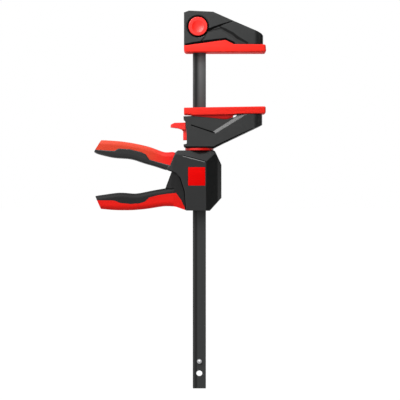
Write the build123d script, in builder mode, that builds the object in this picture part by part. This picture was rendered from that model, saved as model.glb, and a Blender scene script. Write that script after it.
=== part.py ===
from build123d import *
from math import cos, radians, sin, sqrt, tan
import os

# One-hand bar clamp with a handle that swivels about the bar.
# Millimetres. +Z runs up the bar to the fixed jaw, +X is the throat side and -Y is the front.
# The origin is the centre of the hanging hole near the bar's lower end.

# ---- bar ----
rail_width = 17.5
rail_thick = 6.5
rail_foot = 20.0
rail_edge = 0.5
hang_radius = 4.0
lock_height = 462.0
rail_cap = 15.5
stop_height = 16.5
stop_radius = 3.0
stop_bore = 1.8
stop_length = 12.0

# ---- jaws ----
throat = 80.0
opening = 73.9
head_drop = 34.0
jaw_back = 11.7
jaw_half = 15.0
jaw_tip_round = 12.0
pad_half = 16.5
pad_overhang = 3.6
pad_thick = 10.2
heel_drop = 1.8
pad_lip = 1.2
pad_round = 0.8
jaw_round = 0.6
toe_in = 1.8
tongue_half = 8.0
tongue_rise = 5.4
tongue_start = 56.0
tongue_length = 22.0
relief_depth = 1.8
keel_half = 14.0
groove_width = 1.2
groove_depth = 0.9
slide_gap = 0.30
fit_gap = 0.20
run_gap = 0.05

# ---- quick-change lock in the fixed jaw ----
button_radius = 12.5
button_shift = 1.8
button_ring = 15.25
button_proud = 1.2
button_depth = 7.0
button_skin = 3.4
button_dish = 26.0
button_sink = 1.3
button_hollow = 7.0
ring_sink = 1.5
well_wall = 1.1
rivet_radius = 2.2
arm_in = 9.1
arm_thick = 2.0
arm_half = 3.6
bar_gap = 0.75
bar_thick = 3.0
lock_bite = 4.0
lock_play = 0.2
cover_radius = 14.5
cover_thick = 2.5

# ---- slider jaw, brake and release ----
jaw_seat = 10.9
jaw_height = 42.8
brake_tilt = 6.0
brake_thick = 3.0
brake_play = 0.05
brake_half = 9.0
brake_reach = 13.0
brake_heel = 16.3
brake_drop = 37.2
chamber_left = 13.7
chamber_right = 17.0
chamber_half = 11.8
chamber_roof = 23.2
release_travel = 3.2
tab_length = 18.0
tab_half = 9.0
leg_half = 5.5
leg_channel = 15.0
stem_half = 4.4

# ---- swivel collar ----
collar_radius = 19.0
collar_flange = 2.8
collar_gap = 0.3
neck_radius = 12.2
keep_radius = 14.2
keep_thick = 3.2
keep_drop = 4.5
boss_rise = 6.6

# ---- handle housing ----
barrel_half = 19.5
barrel_height = 80.2
barrel_right = 29.5
barrel_round = 1.2
cavity_radius = 17.4
floor_thick = 3.8
slot_half = 16.6
shoulder_angle = 26.0
grip_round = 6.5
pivot_x = -22.0
pivot_drop = 23.1
pivot_radius = 2.5
pivot_boss = 4.8
pivot_reach = 18.3
badge_width = 22.6
badge_height = 24.3
badge_thick = 0.9
badge_sink = 0.5
badge_left = -14.8
badge_drop = 22.4
screw_radius = 1.5
screw_head = 2.8
screw_reach = 10.0
head_sink = 1.6
head_thick = 2.0

# ---- trigger and drive ----
trigger_half = 16.2
cheek_in = 13.6
fork_in = 10.4
fork_reach = 17.0
fork_tip = 3.0
grip_inset = 3.4
drive_radius = 15.4
ring_thick = 2.5
ring_bore = 11.3
flange_thick = 3.0
plate_thick = 2.5
plate_gap = 0.2
plate_length = 26.0
plate_depth = 17.0
lip_thick = 1.0
spring_wire = 0.8
spring_inner = 9.6
seat_thick = 2.0

# ---- worked out from the sizes above ----
rail_top = lock_height + rail_cap
rail_length = rail_top + rail_foot
pad_tip = rail_width / 2 + throat
jaw_tip = pad_tip - pad_overhang
jaw_left = -(rail_width / 2 + jaw_back)
fixed_face = lock_height - head_drop
fixed_seat = fixed_face + pad_thick
moving_face = fixed_face - opening
jaw_top = moving_face - jaw_seat
jaw_foot = jaw_top - jaw_height
collar_top = jaw_foot
barrel_top = jaw_foot - collar_flange - collar_gap
barrel_foot = barrel_top - barrel_height
keep_top = barrel_top - keep_drop
pivot_z = barrel_top - pivot_drop
fork_x = pivot_x + fork_reach
ring_top = pivot_z - fork_tip - run_gap * 2
flange_top = ring_top - ring_thick
plates_top = flange_top - flange_thick
plate_pitch = plate_thick + plate_gap
carrier_foot = plates_top - 2 * plate_pitch - lip_thick
floor_top = barrel_foot + floor_thick
seat_top = floor_top + seat_thick
bore_round = sqrt((rail_width / 2) ** 2 + (rail_thick / 2) ** 2) + slide_gap + 0.2
slot_width = rail_width + 2 * slide_gap
slot_thick = rail_thick + 2 * slide_gap

os.makedirs("parts", exist_ok=True)


def save(piece, name):
    """Label a finished piece and write its STEP file."""
    piece.part.label = name
    export_step(piece.part, f"parts/{name}.step")


def outline(points, offset=0.0):
    """A closed polygon given in X and Z, on a plane parallel to the front."""
    with BuildSketch(Plane.XZ.offset(offset)) as shape:
        Polygon(*points, align=None)
    return shape.sketch


def soften(part, half, radius):
    """Round the edges that bound a part's two broad faces."""
    fillet(part.edges().filter_by(lambda edge: abs(abs(edge.center().Y) - half) < 0.001), radius)


def discs(spots, radius, offset):
    """Equal circles at X-Z spots, on a plane parallel to the front."""
    with BuildSketch(Plane.XZ.offset(offset)) as shape:
        with Locations(*spots):
            Circle(radius)
    return shape.sketch


def rail_passage(low, high, width=slot_width, thick=slot_thick):
    """Cut the rectangular passage that the bar runs through."""
    with BuildSketch(Plane.XY.offset(low)) as passage:
        Rectangle(width, thick)
    extrude(passage.sketch, amount=high - low, mode=Mode.SUBTRACT)


def side_recess(outer, inner, face, depth):
    """Sink a panel into both side faces, with the wall sloped between two outlines."""
    for side in (-1, 1):
        mouth = outline(outer, side * (face + 0.01))
        bed = outline(inner, side * (face - depth))
        loft([mouth, bed], mode=Mode.SUBTRACT)


def groove(start, end, face):
    """Engrave a straight V-bottomed line on both side faces."""
    line = Vector(end[0] - start[0], end[1] - start[1])
    middle = ((start[0] + end[0]) / 2, (start[1] + end[1]) / 2)
    slope = Vector(1, 0, 0).get_signed_angle(line, Vector(0, 0, 1))
    for side in (-1, 1):
        with BuildSketch(Plane.XZ.offset(side * (face - groove_depth))) as scratch:
            with Locations(middle):
                Rectangle(line.length, groove_width, rotation=slope)
        extrude(scratch.sketch, amount=side * (groove_depth + 1), mode=Mode.SUBTRACT)


def coil(inner, wire, foot, axis, length, turns):
    """Wind a compression spring from its foot along an axis, in eight-sided wire to keep its faces few."""
    rise = length - 2 * wire
    with BuildPart() as spring:
        with BuildLine() as path:
            Helix(rise / turns, rise, inner + wire, center=Vector(foot) + Vector(axis) * wire, direction=axis)
        with BuildSketch(Plane(path.line @ 0, z_dir=path.line % 0)):
            RegularPolygon(wire, 8)
        sweep()
    return spring


# ================= bar =================

with BuildPart() as rail:
    with BuildSketch(Plane.XY.offset(-rail_foot)):
        Rectangle(rail_width, rail_thick)
    extrude(amount=rail_length)
    fillet(rail.edges().filter_by(Axis.Z), rail_edge)
    chamfer(rail.faces().sort_by(Axis.Z)[0].edges(), 0.5)
    with BuildSketch(Plane.XZ):
        for height in (0, lock_height):
            with Locations((0, height)):
                Circle(hang_radius)
        with Locations((0, stop_height)):
            Circle(stop_radius)
    extrude(amount=rail_thick, both=True, mode=Mode.SUBTRACT)
save(rail, "rail")

with BuildPart() as stop_pin:
    with BuildSketch(Plane.XZ):
        with Locations((0, stop_height)):
            Circle(stop_radius)
            Circle(stop_bore, mode=Mode.SUBTRACT)
    extrude(amount=stop_length / 2, both=True)
save(stop_pin, "stop_pin")

# ================= fixed jaw =================

gable_x = 34.7
gable_rise = 5.6
gable_foot = 46.0
head_rise = fixed_seat + 44.8
fixed_outline = [
    (jaw_left, fixed_seat - heel_drop), (jaw_left, head_rise - 2.4), (jaw_left + 6.5, head_rise),
    (18.4, head_rise - 1.5), (44.2, head_rise - 13.0), (jaw_tip - 7.9, head_rise - 27.2),
    (jaw_tip - 2.4, head_rise - 30.1), (jaw_tip, head_rise - 32.6), (jaw_tip, fixed_seat),
    (gable_foot, fixed_seat), (gable_x, fixed_seat + gable_rise),
]
fixed_pad_outline = [
    (jaw_left, fixed_seat - heel_drop), (gable_x, fixed_seat + gable_rise), (gable_foot, fixed_seat),
    (jaw_tip, fixed_seat), (pad_tip - 1.0, fixed_seat - pad_lip), (pad_tip, fixed_face),
    (jaw_left + 2.6, fixed_face), (jaw_left, fixed_face + 2.2),
]


def key_outline(seat, gap=0.0):
    """Outline of the key that holds a pad to its jaw, centred on the seat between them."""
    left = tongue_start - gap
    right = tongue_start + tongue_length + gap
    return [
        (left, seat - tongue_rise - gap), (right, seat - tongue_rise - gap),
        (right, seat + tongue_rise + gap), (left, seat + tongue_rise + gap),
    ]


lock_spot = [(0, lock_height)]
button_spot = [(-button_shift, lock_height)]
lock_arms = [(side * (arm_in + arm_thick / 2), lock_height) for side in (-1, 1)]
well_floor = rail_thick / 2 + fit_gap + well_wall
frame_half_x = arm_in + arm_thick
button_front = jaw_half + button_proud
button_back = button_front - button_depth

with BuildPart() as fixed_jaw:
    extrude(outline(fixed_outline), amount=jaw_half, both=True)
    fillet(fixed_jaw.faces().sort_by(Axis.X)[-1].edges().filter_by(Axis.Z), jaw_tip_round)
    soften(fixed_jaw, jaw_half, jaw_round)
    side_recess(
        [(31.0, fixed_seat + 22.4), (64.0, fixed_seat - 1), (-4.0, fixed_seat - 3), (13.0, fixed_seat + 18.6)],
        [(26.5, fixed_seat + 21.0), (56.0, fixed_seat - 1), (-4.0, fixed_seat - 3), (13.0, fixed_seat + 18.6)],
        jaw_half, relief_depth,
    )
    groove((10.5, fixed_seat + 19.1), (44.6, fixed_seat + 30.9), jaw_half)
    extrude(outline(key_outline(fixed_seat)), amount=tongue_half, both=True)
    rail_passage(fixed_seat - heel_drop - 1, rail_top + fit_gap, rail_width + 2 * fit_gap, rail_thick + 2 * fit_gap)
    # button well at the front, arm slots past the bar, crossbar room and cover seat behind it
    extrude(discs(button_spot, button_ring, jaw_half - ring_sink), amount=ring_sink, mode=Mode.SUBTRACT)
    extrude(discs(button_spot, button_radius + slide_gap, well_floor), amount=jaw_half, mode=Mode.SUBTRACT)
    with BuildSketch(Plane.XZ.offset(cover_thick - jaw_half)):
        with Locations(*lock_spot):
            Rectangle(2 * (frame_half_x + slide_gap), 2 * (arm_half + slide_gap))
    extrude(amount=jaw_half - cover_thick - rail_thick / 2, mode=Mode.SUBTRACT)
    with BuildSketch(Plane.XZ.offset(button_back + slide_gap)):
        with Locations(*lock_arms):
            Rectangle(arm_thick + 2 * slide_gap, 2 * (arm_half + slide_gap))
    extrude(amount=-(button_back + slide_gap + rail_thick), mode=Mode.SUBTRACT)
    extrude(discs(lock_spot, cover_radius, -jaw_half), amount=cover_thick, mode=Mode.SUBTRACT)
save(fixed_jaw, "fixed_jaw")


def pad_fork(low, high):
    """Open the fork that lets a pad slip past the bar from its heel."""
    with BuildSketch(Plane.XY.offset(low - 1)) as fork:
        with Locations((jaw_left, 0)):
            Rectangle(2 * (slot_width / 2 - jaw_left), slot_thick)
    extrude(fork.sketch, amount=high - low + 2, mode=Mode.SUBTRACT)


with BuildPart() as fixed_jaw_pad:
    extrude(outline(fixed_pad_outline), amount=pad_half, both=True)
    soften(fixed_jaw_pad, pad_half, pad_round)
    pad_fork(fixed_face, fixed_seat + gable_rise)
    extrude(outline(key_outline(fixed_seat)), amount=tongue_half, both=True, mode=Mode.SUBTRACT)
save(fixed_jaw_pad, "fixed_jaw_pad")

with BuildPart() as lock_cover:
    extrude(discs(lock_spot, cover_radius, -jaw_half), amount=cover_thick)
    chamfer(lock_cover.faces().sort_by(Axis.Y)[-1].edges(), 0.6)
save(lock_cover, "lock_cover")

# ================= push-button lock =================

bar_front = rail_thick / 2 + bar_gap

with BuildPart() as lock_button:
    extrude(discs(button_spot, button_radius, button_back), amount=button_depth)
    fillet(lock_button.faces().sort_by(Axis.Y)[0].edges(), 0.9)
    with Locations((-button_shift, -(button_front + button_dish - button_sink), lock_height)):
        Sphere(button_dish, mode=Mode.SUBTRACT)
    extrude(discs(button_spot, button_hollow, button_back), amount=button_depth - button_skin, mode=Mode.SUBTRACT)
save(lock_button, "lock_button")

with BuildPart() as lock_frame:
    with BuildSketch(Plane.XZ.offset(button_back)):
        with Locations(*lock_arms):
            Rectangle(arm_thick, 2 * arm_half)
    extrude(amount=-(button_back + bar_front + bar_thick))
    with BuildSketch(Plane.XZ.offset(-bar_front)):
        with Locations(*lock_spot):
            Rectangle(2 * frame_half_x, 2 * arm_half)
    extrude(amount=-bar_thick)
    extrude(discs(lock_spot, rivet_radius, -bar_front), amount=-bar_thick, mode=Mode.SUBTRACT)
save(lock_frame, "lock_frame")

with BuildPart() as lock_pin:
    extrude(discs(lock_spot, hang_radius - lock_play, -bar_front), amount=bar_gap + lock_bite)
    chamfer(lock_pin.faces().sort_by(Axis.Y)[0].edges(), 0.6)
    extrude(discs(lock_spot, rivet_radius, -bar_front), amount=-bar_thick)
save(lock_pin, "lock_pin")

lock_spring = coil(
    5.2, 0.5, (-button_shift, -well_floor, lock_height), (0, -1, 0),
    button_front - button_skin - well_floor - slide_gap / 2, 4,
)
save(lock_spring, "lock_spring")

# ================= slider jaw =================

slider_seat = jaw_top + 2.8
notch_foot = jaw_top - 4.7
slider_outline = [
    (jaw_left - 0.7, jaw_top - 0.5), (jaw_left - 0.4, jaw_top - 4.9), (jaw_left + 1.0, jaw_top - 5.3),
    (jaw_left + 2.4, jaw_top - 9.8), (jaw_left + 3.3, jaw_top - 19.6), (jaw_left + 3.8, jaw_top - 33.8),
    (jaw_left + 3.4, jaw_foot + 5.8), (jaw_left - 0.6, jaw_foot + 5.0), (jaw_left - 0.4, jaw_foot + 2.4),
    (jaw_left + 2.6, jaw_foot), (19.3, jaw_foot), (28.2, jaw_foot + 4.6), (jaw_tip - 1.2, jaw_foot + 31.2),
    (jaw_tip - 1.2, slider_seat), (51.2, slider_seat), (47.7, jaw_top - 1.3),
    (35.3, notch_foot), (-9.1, jaw_top),
]
moving_pad_outline = [
    (jaw_left, moving_face), (pad_tip - 0.6, moving_face + toe_in), (pad_tip - 0.6, slider_seat + 0.4),
    (jaw_tip - 1.2, slider_seat), (51.2, slider_seat), (45.6, slider_seat - 0.9), (44.4, jaw_top - 2.1),
    (35.3, notch_foot), (-9.1, jaw_top), (-11.5, jaw_top + 2.0), (jaw_left, jaw_top + 2.3),
]
brake_x = brake_heel - 0.8
brake_z = moving_face - brake_drop
brake_rise = tan(radians(brake_tilt))
brake_skin = brake_thick / 2 / cos(radians(brake_tilt))
chamber_top = moving_face - chamber_roof
chamber_mid = (chamber_right - chamber_left) / 2
chamber_span = chamber_right + chamber_left
boss_top = collar_top + boss_rise
tab_top = jaw_top - 8.6
leg_foot = jaw_top - 31.8
stem_top = chamber_top - slide_gap
stem_thick = 4.5
hook_x = slide_gap - chamber_left
hook_thick = 2.2
hook_bottom = brake_z + (brake_x - hook_x) * brake_rise + brake_skin + slide_gap
screw_spots = [(-11.3, collar_top + 3.4), (12.9, collar_top + 3.4)]

with BuildPart() as slider_jaw:
    extrude(outline(slider_outline), amount=jaw_half, both=True)
    fillet(slider_jaw.faces().sort_by(Axis.X)[-1].edges().filter_by(Axis.Z), jaw_tip_round)
    soften(slider_jaw, jaw_half, jaw_round)
    side_recess(
        [(21.5, jaw_top - 23.4), (66.0, jaw_top + 4), (-30.0, jaw_top + 4), (-17.0, jaw_top - 10.6)],
        [(17.0, jaw_top - 21.4), (57.0, jaw_top + 4), (-30.0, jaw_top + 4), (-17.0, jaw_top - 10.6)],
        jaw_half, relief_depth,
    )
    groove((-12.0, jaw_top - 11.8), (20.5, jaw_top - 22.6), jaw_half)
    extrude(outline(key_outline(slider_seat)), amount=tongue_half, both=True)
    rail_passage(chamber_top - 1, slider_seat + 1)
    with BuildSketch(Plane.XY.offset(jaw_foot)):
        with Locations((chamber_mid, 0)):
            Rectangle(chamber_span, 2 * chamber_half)
    extrude(amount=chamber_top - jaw_foot, mode=Mode.SUBTRACT)
    # heel seat that holds the brake plate down at the throat side
    heel_seat = [
        (brake_heel - 2.6, chamber_top), (chamber_right, chamber_top), (chamber_right, brake_z + 2.0),
        (brake_heel - 2.6, brake_z + 2.0),
    ]
    extrude(outline(heel_seat), amount=chamber_half, both=True)
    # window in the heel wall for the release stem
    window_foot = stem_top - stem_thick - release_travel - slide_gap
    window = [
        (jaw_left - 2, chamber_top), (-chamber_left + 1, chamber_top),
        (-chamber_left + 1, window_foot), (jaw_left - 2, window_foot),
    ]
    extrude(outline(window), amount=stem_half + slide_gap, both=True, mode=Mode.SUBTRACT)
    # channel in the heel wall that the release leg slides in
    channel = [
        (jaw_left + 1, leg_foot - release_travel - 0.5), (-leg_channel, leg_foot - release_travel - 0.5),
        (-leg_channel, tab_top + 0.5), (jaw_left + 1, tab_top + 0.5),
    ]
    extrude(outline(channel), amount=leg_half + slide_gap, both=True, mode=Mode.SUBTRACT)
    extrude(discs(screw_spots, screw_head, -jaw_half), amount=head_sink, mode=Mode.SUBTRACT)
    extrude(discs(screw_spots, screw_radius, -jaw_half), amount=jaw_half - chamber_half + 1, mode=Mode.SUBTRACT)
save(slider_jaw, "slider_jaw")

with BuildPart() as slider_jaw_pad:
    extrude(outline(moving_pad_outline), amount=pad_half, both=True)
    # the keel in the jaw's notch is narrower than the pad
    keel_room = [
        (jaw_left - 1, jaw_top - 8), (50, jaw_top - 8), (50, slider_seat - 1.0), (jaw_left - 1, jaw_top + 0.7),
    ]
    for side in (-1, 1):
        extrude(outline(keel_room, side * keel_half), amount=side * 6, mode=Mode.SUBTRACT)
    soften(slider_jaw_pad, pad_half, pad_round)
    pad_fork(jaw_top - 6, moving_face + toe_in)
    extrude(outline(key_outline(slider_seat)), amount=tongue_half, both=True, mode=Mode.SUBTRACT)
save(slider_jaw_pad, "slider_jaw_pad")

with BuildPart() as swivel_collar:
    with BuildSketch(Plane.XY.offset(collar_top)):
        Circle(collar_radius)
    extrude(amount=-collar_flange)
    with BuildSketch(Plane.XY.offset(keep_top)):
        Circle(neck_radius)
    extrude(amount=collar_top - keep_top)
    with BuildSketch(Plane.XY.offset(keep_top)):
        Circle(keep_radius)
    extrude(amount=-keep_thick)
    with BuildSketch(Plane.XY.offset(collar_top)):
        with Locations((chamber_mid, 0)):
            Rectangle(chamber_span - 2 * fit_gap, 2 * (chamber_half - fit_gap))
    extrude(amount=boss_rise)
    rail_passage(keep_top - keep_thick - 1, boss_top + 1)
    extrude(discs(screw_spots, screw_radius, -jaw_half), amount=screw_reach, mode=Mode.SUBTRACT)
save(swivel_collar, "swivel_collar")

with BuildPart() as collar_screws:
    extrude(discs(screw_spots, screw_head, -jaw_half), amount=head_sink)
    extrude(discs(screw_spots, screw_radius, -jaw_half), amount=screw_reach)
save(collar_screws, "collar_screws")

# ================= brake plate and release lever =================

slot_length = (rail_width + brake_thick * sin(radians(brake_tilt))) / cos(radians(brake_tilt)) + 2 * brake_play
plate_span = brake_x + brake_reach
heel_tail = brake_heel - brake_x

brake_plane = Plane(
    (brake_x, 0, brake_z), x_dir=(-cos(radians(brake_tilt)), 0, sin(radians(brake_tilt))),
    z_dir=(sin(radians(brake_tilt)), 0, cos(radians(brake_tilt))),
)
with BuildPart() as brake_plate:
    with BuildSketch(brake_plane.offset(-brake_thick / 2)):
        with Locations(((plate_span - heel_tail) / 2, 0)):
            Rectangle(plate_span + heel_tail, 2 * brake_half)
        with Locations((brake_x / cos(radians(brake_tilt)), 0)):
            Rectangle(slot_length, slot_thick, mode=Mode.SUBTRACT)
    extrude(amount=brake_thick)
save(brake_plate, "brake_plate")

tab_outline = [
    (jaw_left - tab_length + 0.5, tab_top - 2.6), (jaw_left - tab_length, tab_top - 4.4),
    (jaw_left - tab_length, tab_top - 6.1), (jaw_left - 8.0, tab_top - 7.4), (jaw_left - 3.4, tab_top - 8.8),
    (jaw_left + 2.0, tab_top - 9.2), (jaw_left + 1.8, tab_top), (jaw_left - 12.5, tab_top - 0.3),
]
leg_outline = [
    (jaw_left - 3.4, tab_top - 8.8), (jaw_left - 1.2, tab_top - 11.4), (jaw_left - 1.2, leg_foot),
    (-leg_channel - slide_gap, leg_foot), (-leg_channel - slide_gap, tab_top - 1.0), (jaw_left + 1.8, tab_top),
    (jaw_left - 3.4, tab_top),
]
stem_outline = [
    (jaw_left + 2.0, stem_top), (hook_x + hook_thick, stem_top), (hook_x + hook_thick, hook_bottom),
    (hook_x, hook_bottom), (hook_x, stem_top - stem_thick), (jaw_left + 2.0, stem_top - stem_thick),
]
with BuildPart() as release_lever:
    extrude(outline(tab_outline), amount=tab_half, both=True)
    tip_edges = release_lever.edges().filter_by(lambda e: abs(e.tangent_at(0).Z) > 0.9).group_by(Axis.X)[0]
    fillet(tip_edges, 3.0)
    extrude(outline(leg_outline), amount=leg_half, both=True)
    extrude(outline(stem_outline), amount=stem_half, both=True)
save(release_lever, "release_lever")

brake_spring_x = -(rail_width / 2 + 2.6)
brake_under = brake_z + (brake_x - brake_spring_x) * brake_rise - brake_skin
brake_spring = coil(
    1.3, 0.35, (brake_spring_x, 0, boss_top), (0, 0, 1), brake_under - slide_gap - boss_top, 6
)
save(brake_spring, "brake_spring")

# ================= handle housing =================

hz = barrel_top
bf = barrel_foot
barrel_outline = [
    (-31.8, hz - 2.8), (-28.6, hz), (19.6, hz), (20.9, hz - 0.9), (barrel_right, hz - 18.8),
    (barrel_right, bf + 17.2), (13.9, bf), (-18.0, bf + 0.4), (-19.7, bf + 25.8),
    (-25.1, hz - 37.0), (-30.4, hz - 30.2), (-36.0, hz - 28.1), (-43.4, hz - 25.9), (-42.4, hz - 21.6),
    (-38.8, hz - 19.9),
]
barrel_plan = [
    (-46.0, -17.4), (-36.0, -barrel_half), (9.3, -barrel_half), (24.5, -11.0), (barrel_right, -5.5),
    (barrel_right, 5.5), (24.5, 11.0), (9.3, barrel_half), (-36.0, barrel_half), (-46.0, 17.4),
]
# stations along each grip from its tip: lowest point, highest point, half width
upper_grip = [
    ((-140.3, hz - 1.7), (-130.6, hz + 14.0), 11.2), ((-134.8, hz - 4.8), (-126.3, hz + 13.9), 11.6),
    ((-127.2, hz - 6.8), (-121.0, hz + 13.6), 12.0), ((-118.9, hz - 8.7), (-114.9, hz + 13.2), 12.3),
    ((-109.7, hz - 10.0), (-107.7, hz + 12.7), 12.5), ((-98.0, hz - 10.7), (-97.5, hz + 11.4), 12.6),
    ((-89.0, hz - 12.0), (-89.0, hz + 10.1), 12.7), ((-78.8, hz - 15.3), (-78.8, hz + 8.0), 13.0),
    ((-66.0, hz - 19.2), (-66.0, hz + 4.8), 13.6), ((-54.0, hz - 22.8), (-54.0, hz + 0.4), 14.9),
    ((-43.5, hz - 25.8), (-43.5, hz - 2.4), 17.4), ((-31.8, hz - 29.2), (-31.8, hz - 3.0), barrel_half),
]
upper_red = [
    (-150.0, hz + 2.0), (-116.0, hz - 0.3), (-112.5, hz - 0.2), (-107.5, hz + 2.7), (-92.1, hz + 1.7),
    (-78.8, hz - 1.6), (-71.5, hz - 4.8), (-66.0, hz - 12.3), (-52.3, hz - 16.0), (-38.8, hz - 19.9),
    (-31.8, hz - 2.8), (-31.8, hz + 30), (-150.0, hz + 30),
]
lever_grip = [
    ((-131.0, bf + 2.5), (-138.6, bf + 19.6), 11.2), ((-125.0, bf + 1.9), (-131.6, bf + 20.9), 11.6),
    ((-117.2, bf + 1.2), (-121.2, bf + 22.4), 12.0), ((-108.0, bf + 0.8), (-109.5, bf + 23.9), 12.3),
    ((-98.0, bf + 0.7), (-98.5, bf + 23.9), 12.5), ((-88.0, bf + 0.9), (-88.0, bf + 23.0), 12.6),
    ((-78.0, bf + 1.7), (-78.0, bf + 23.8), 12.8), ((-66.0, bf + 3.1), (-66.0, bf + 26.3), 13.2),
    ((-54.0, bf + 5.1), (-54.0, bf + 28.5), 13.8), ((-44.0, bf + 6.1), (-44.0, bf + 30.3), 14.8),
    ((-34.0, bf + 5.8), (-34.0, bf + 32.2), trigger_half),
]
lever_red = [
    (-150.0, bf + 14.2), (-116.0, bf + 13.8), (-111.5, bf + 13.2), (-105.4, bf + 10.4), (-92.0, bf + 9.1),
    (-79.5, bf + 9.9), (-72.5, bf + 12.1), (-66.5, bf + 17.7), (-54.0, bf + 21.0), (-41.6, bf + 22.7),
    (-31.0, bf + 23.7), (-23.9, bf + 14.0), (-19.4, bf + 4.4), (-17.0, bf - 12.0), (-150.0, bf - 12.0),
]


def grip_bar(stations, inset=0.0):
    """A grip lofted through rounded sections, the first of them on its slanted tip."""
    with BuildPart() as bar:
        for index, (low, high, half) in enumerate(stations):
            foot = Vector(low[0], 0, low[1])
            head = Vector(high[0], 0, high[1])
            along = Vector(0, 1, 0).cross(head - foot)
            middle = (foot + head) / 2
            if index == 0:
                middle += along.normalized() * inset
            height = (head - foot).length - 2 * inset
            with BuildSketch(Plane(middle, x_dir=(0, 1, 0), z_dir=along)):
                RectangleRounded(2 * (half - inset), height, min(0.42 * height, grip_round))
        loft()
    return bar.part


def slot_cut(points, half):
    """Cut an X-Z outline to both sides of the middle plane."""
    extrude(outline(points), amount=half, both=True, mode=Mode.SUBTRACT)


upper_skin = grip_bar(upper_grip)
upper_core = grip_bar(upper_grip, grip_inset)
lever_skin = grip_bar(lever_grip)
lever_core = grip_bar(lever_grip, grip_inset)

screw_sites = [(23.0, hz - 25.0), (23.0, bf + 22.6), (-26.0, hz - 8.6), (-98.0, hz - 3.4)]
screw_tail = 9.0
screw_seat = 8.0
trigger_way = [
    (-44.0, hz - 36.0), (-44.0, hz - 25.2), (-42.0, hz - 24.0), (-34.0, hz - 15.6), (6.0, hz - 15.6),
    (6.0, floor_top), (-17.2, floor_top), (-17.2, bf - 1), (-44.0, bf - 1),
]
shoulder_line = Vector(-43.0, 0, 11.1).normalized()
shoulder_up = Vector(11.1, 0, 43.0).normalized()
badge_middle = (badge_left + badge_width / 2, hz - badge_drop - badge_height / 2)

with BuildPart() as housing:
    extrude(outline(barrel_outline), amount=barrel_half, both=True)
    with BuildSketch(Plane.XY.offset(bf - 1)):
        Polygon(*barrel_plan, align=None)
    extrude(amount=barrel_height + 2, mode=Mode.INTERSECT)
    # sloped shoulders at the top of the broad faces
    for face in (-1, 1):
        lean = Vector(0, face * cos(radians(shoulder_angle)), 0) + shoulder_up * sin(radians(shoulder_angle))
        with BuildSketch(Plane((9.8, face * barrel_half, hz - 15.5), x_dir=shoulder_line, z_dir=lean)):
            Rectangle(140, 90)
        extrude(amount=40, mode=Mode.SUBTRACT)
    fillet(housing.edges(), barrel_round)
    add(upper_skin)
    slot_cut(upper_red, 2 * barrel_half)
    add(upper_core)
    # swivel bearing: top bore, flange groove and ledge
    with BuildSketch(Plane.XY.offset(barrel_top + 1)):
        Circle(neck_radius + slide_gap)
    extrude(amount=-(keep_drop + keep_thick + 7), mode=Mode.SUBTRACT)
    with BuildSketch(Plane.XY.offset(keep_top + slide_gap)):
        Circle(keep_radius + slide_gap)
    extrude(amount=-(keep_thick + 2 * slide_gap), mode=Mode.SUBTRACT)
    # drive chamber, the trigger's slot and the round way out for the bar
    with BuildSketch(Plane.XY.offset(floor_top)):
        Circle(cavity_radius)
    extrude(amount=keep_top - keep_thick - 4.5 - floor_top, mode=Mode.SUBTRACT)
    slot_cut(trigger_way, slot_half)
    with BuildSketch(Plane.XY.offset(bf - 1)):
        Circle(bore_round)
    extrude(amount=floor_thick + 2, mode=Mode.SUBTRACT)
    extrude(discs([(pivot_x, pivot_z)], pivot_radius, 0), amount=pivot_reach, both=True, mode=Mode.SUBTRACT)
    with BuildSketch(Plane.XZ.offset(barrel_half - badge_sink)):
        with Locations(badge_middle):
            Rectangle(badge_width, badge_height)
    extrude(amount=2, mode=Mode.SUBTRACT)
    # screws enter from the back
    extrude(discs(screw_sites, screw_radius, screw_tail), amount=-(screw_tail + screw_seat), mode=Mode.SUBTRACT)
    extrude(discs(screw_sites, screw_head, -screw_seat), amount=-barrel_half, mode=Mode.SUBTRACT)

with BuildPart() as cover_ring:
    add(upper_skin)
    extrude(outline(upper_red), amount=2 * barrel_half, both=True, mode=Mode.INTERSECT)
    add(upper_core, mode=Mode.SUBTRACT)
    extrude(outline(barrel_outline), amount=2 * barrel_half, both=True, mode=Mode.SUBTRACT)

for whole, front_name, back_name in (
    (housing, "front_shell", "back_shell"), (cover_ring, "front_grip_cover", "back_grip_cover"),
):
    for keep, name in ((Keep.TOP, front_name), (Keep.BOTTOM, back_name)):
        with BuildPart() as half:
            add(whole.part)
            split(bisect_by=Plane.XZ, keep=keep)
        save(half, name)

with BuildPart() as housing_screws:
    extrude(discs(screw_sites, screw_radius, screw_tail), amount=-(screw_tail + screw_seat))
    extrude(discs(screw_sites, screw_head, -screw_seat), amount=-head_thick)
save(housing_screws, "housing_screws")

with BuildPart() as badge_plate:
    with BuildSketch(Plane.XZ.offset(barrel_half - badge_sink)):
        with Locations(badge_middle):
            Rectangle(badge_width, badge_height)
    extrude(amount=badge_thick)
save(badge_plate, "badge_plate")

with BuildPart() as trigger_pin:
    extrude(discs([(pivot_x, pivot_z)], pivot_radius, 0), amount=pivot_reach, both=True)
save(trigger_pin, "trigger_pin")

with BuildPart() as spring_seat:
    with BuildSketch(Plane.XY.offset(floor_top)):
        Circle(cheek_in - 0.5)
        Circle(bore_round, mode=Mode.SUBTRACT)
    extrude(amount=seat_thick)
save(spring_seat, "spring_seat")

# ================= trigger =================

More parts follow.
